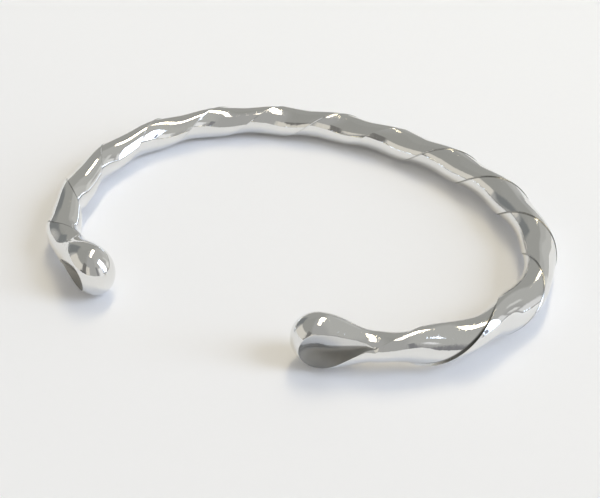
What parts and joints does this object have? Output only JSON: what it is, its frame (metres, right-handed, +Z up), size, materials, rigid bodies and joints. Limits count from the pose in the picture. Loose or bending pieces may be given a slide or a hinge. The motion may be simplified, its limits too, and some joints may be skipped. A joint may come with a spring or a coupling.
{
  "type": "open cuff bangle",
  "caption": "Open oval cuff bangle: a thick polished silver bar with raised spiralling lips, swelling at each tip into a drop with a tear-shaped scoop in its outer side.",
  "frame": {"origin": "centre of the bounding box's base, on the surface that the bangle rests on", "axes": "+X along the loop's length, +Y away from the gap between the two tips, +Z up through the wrist hollow"},
  "size_m": [0.0672, 0.0492, 0.0073],
  "materials": {
    "polished_silver": "mirror polish with fine wear"
  },
  "bodies": {
    "root": {"bangle": "polished_silver"}
  },
  "joints": []
}
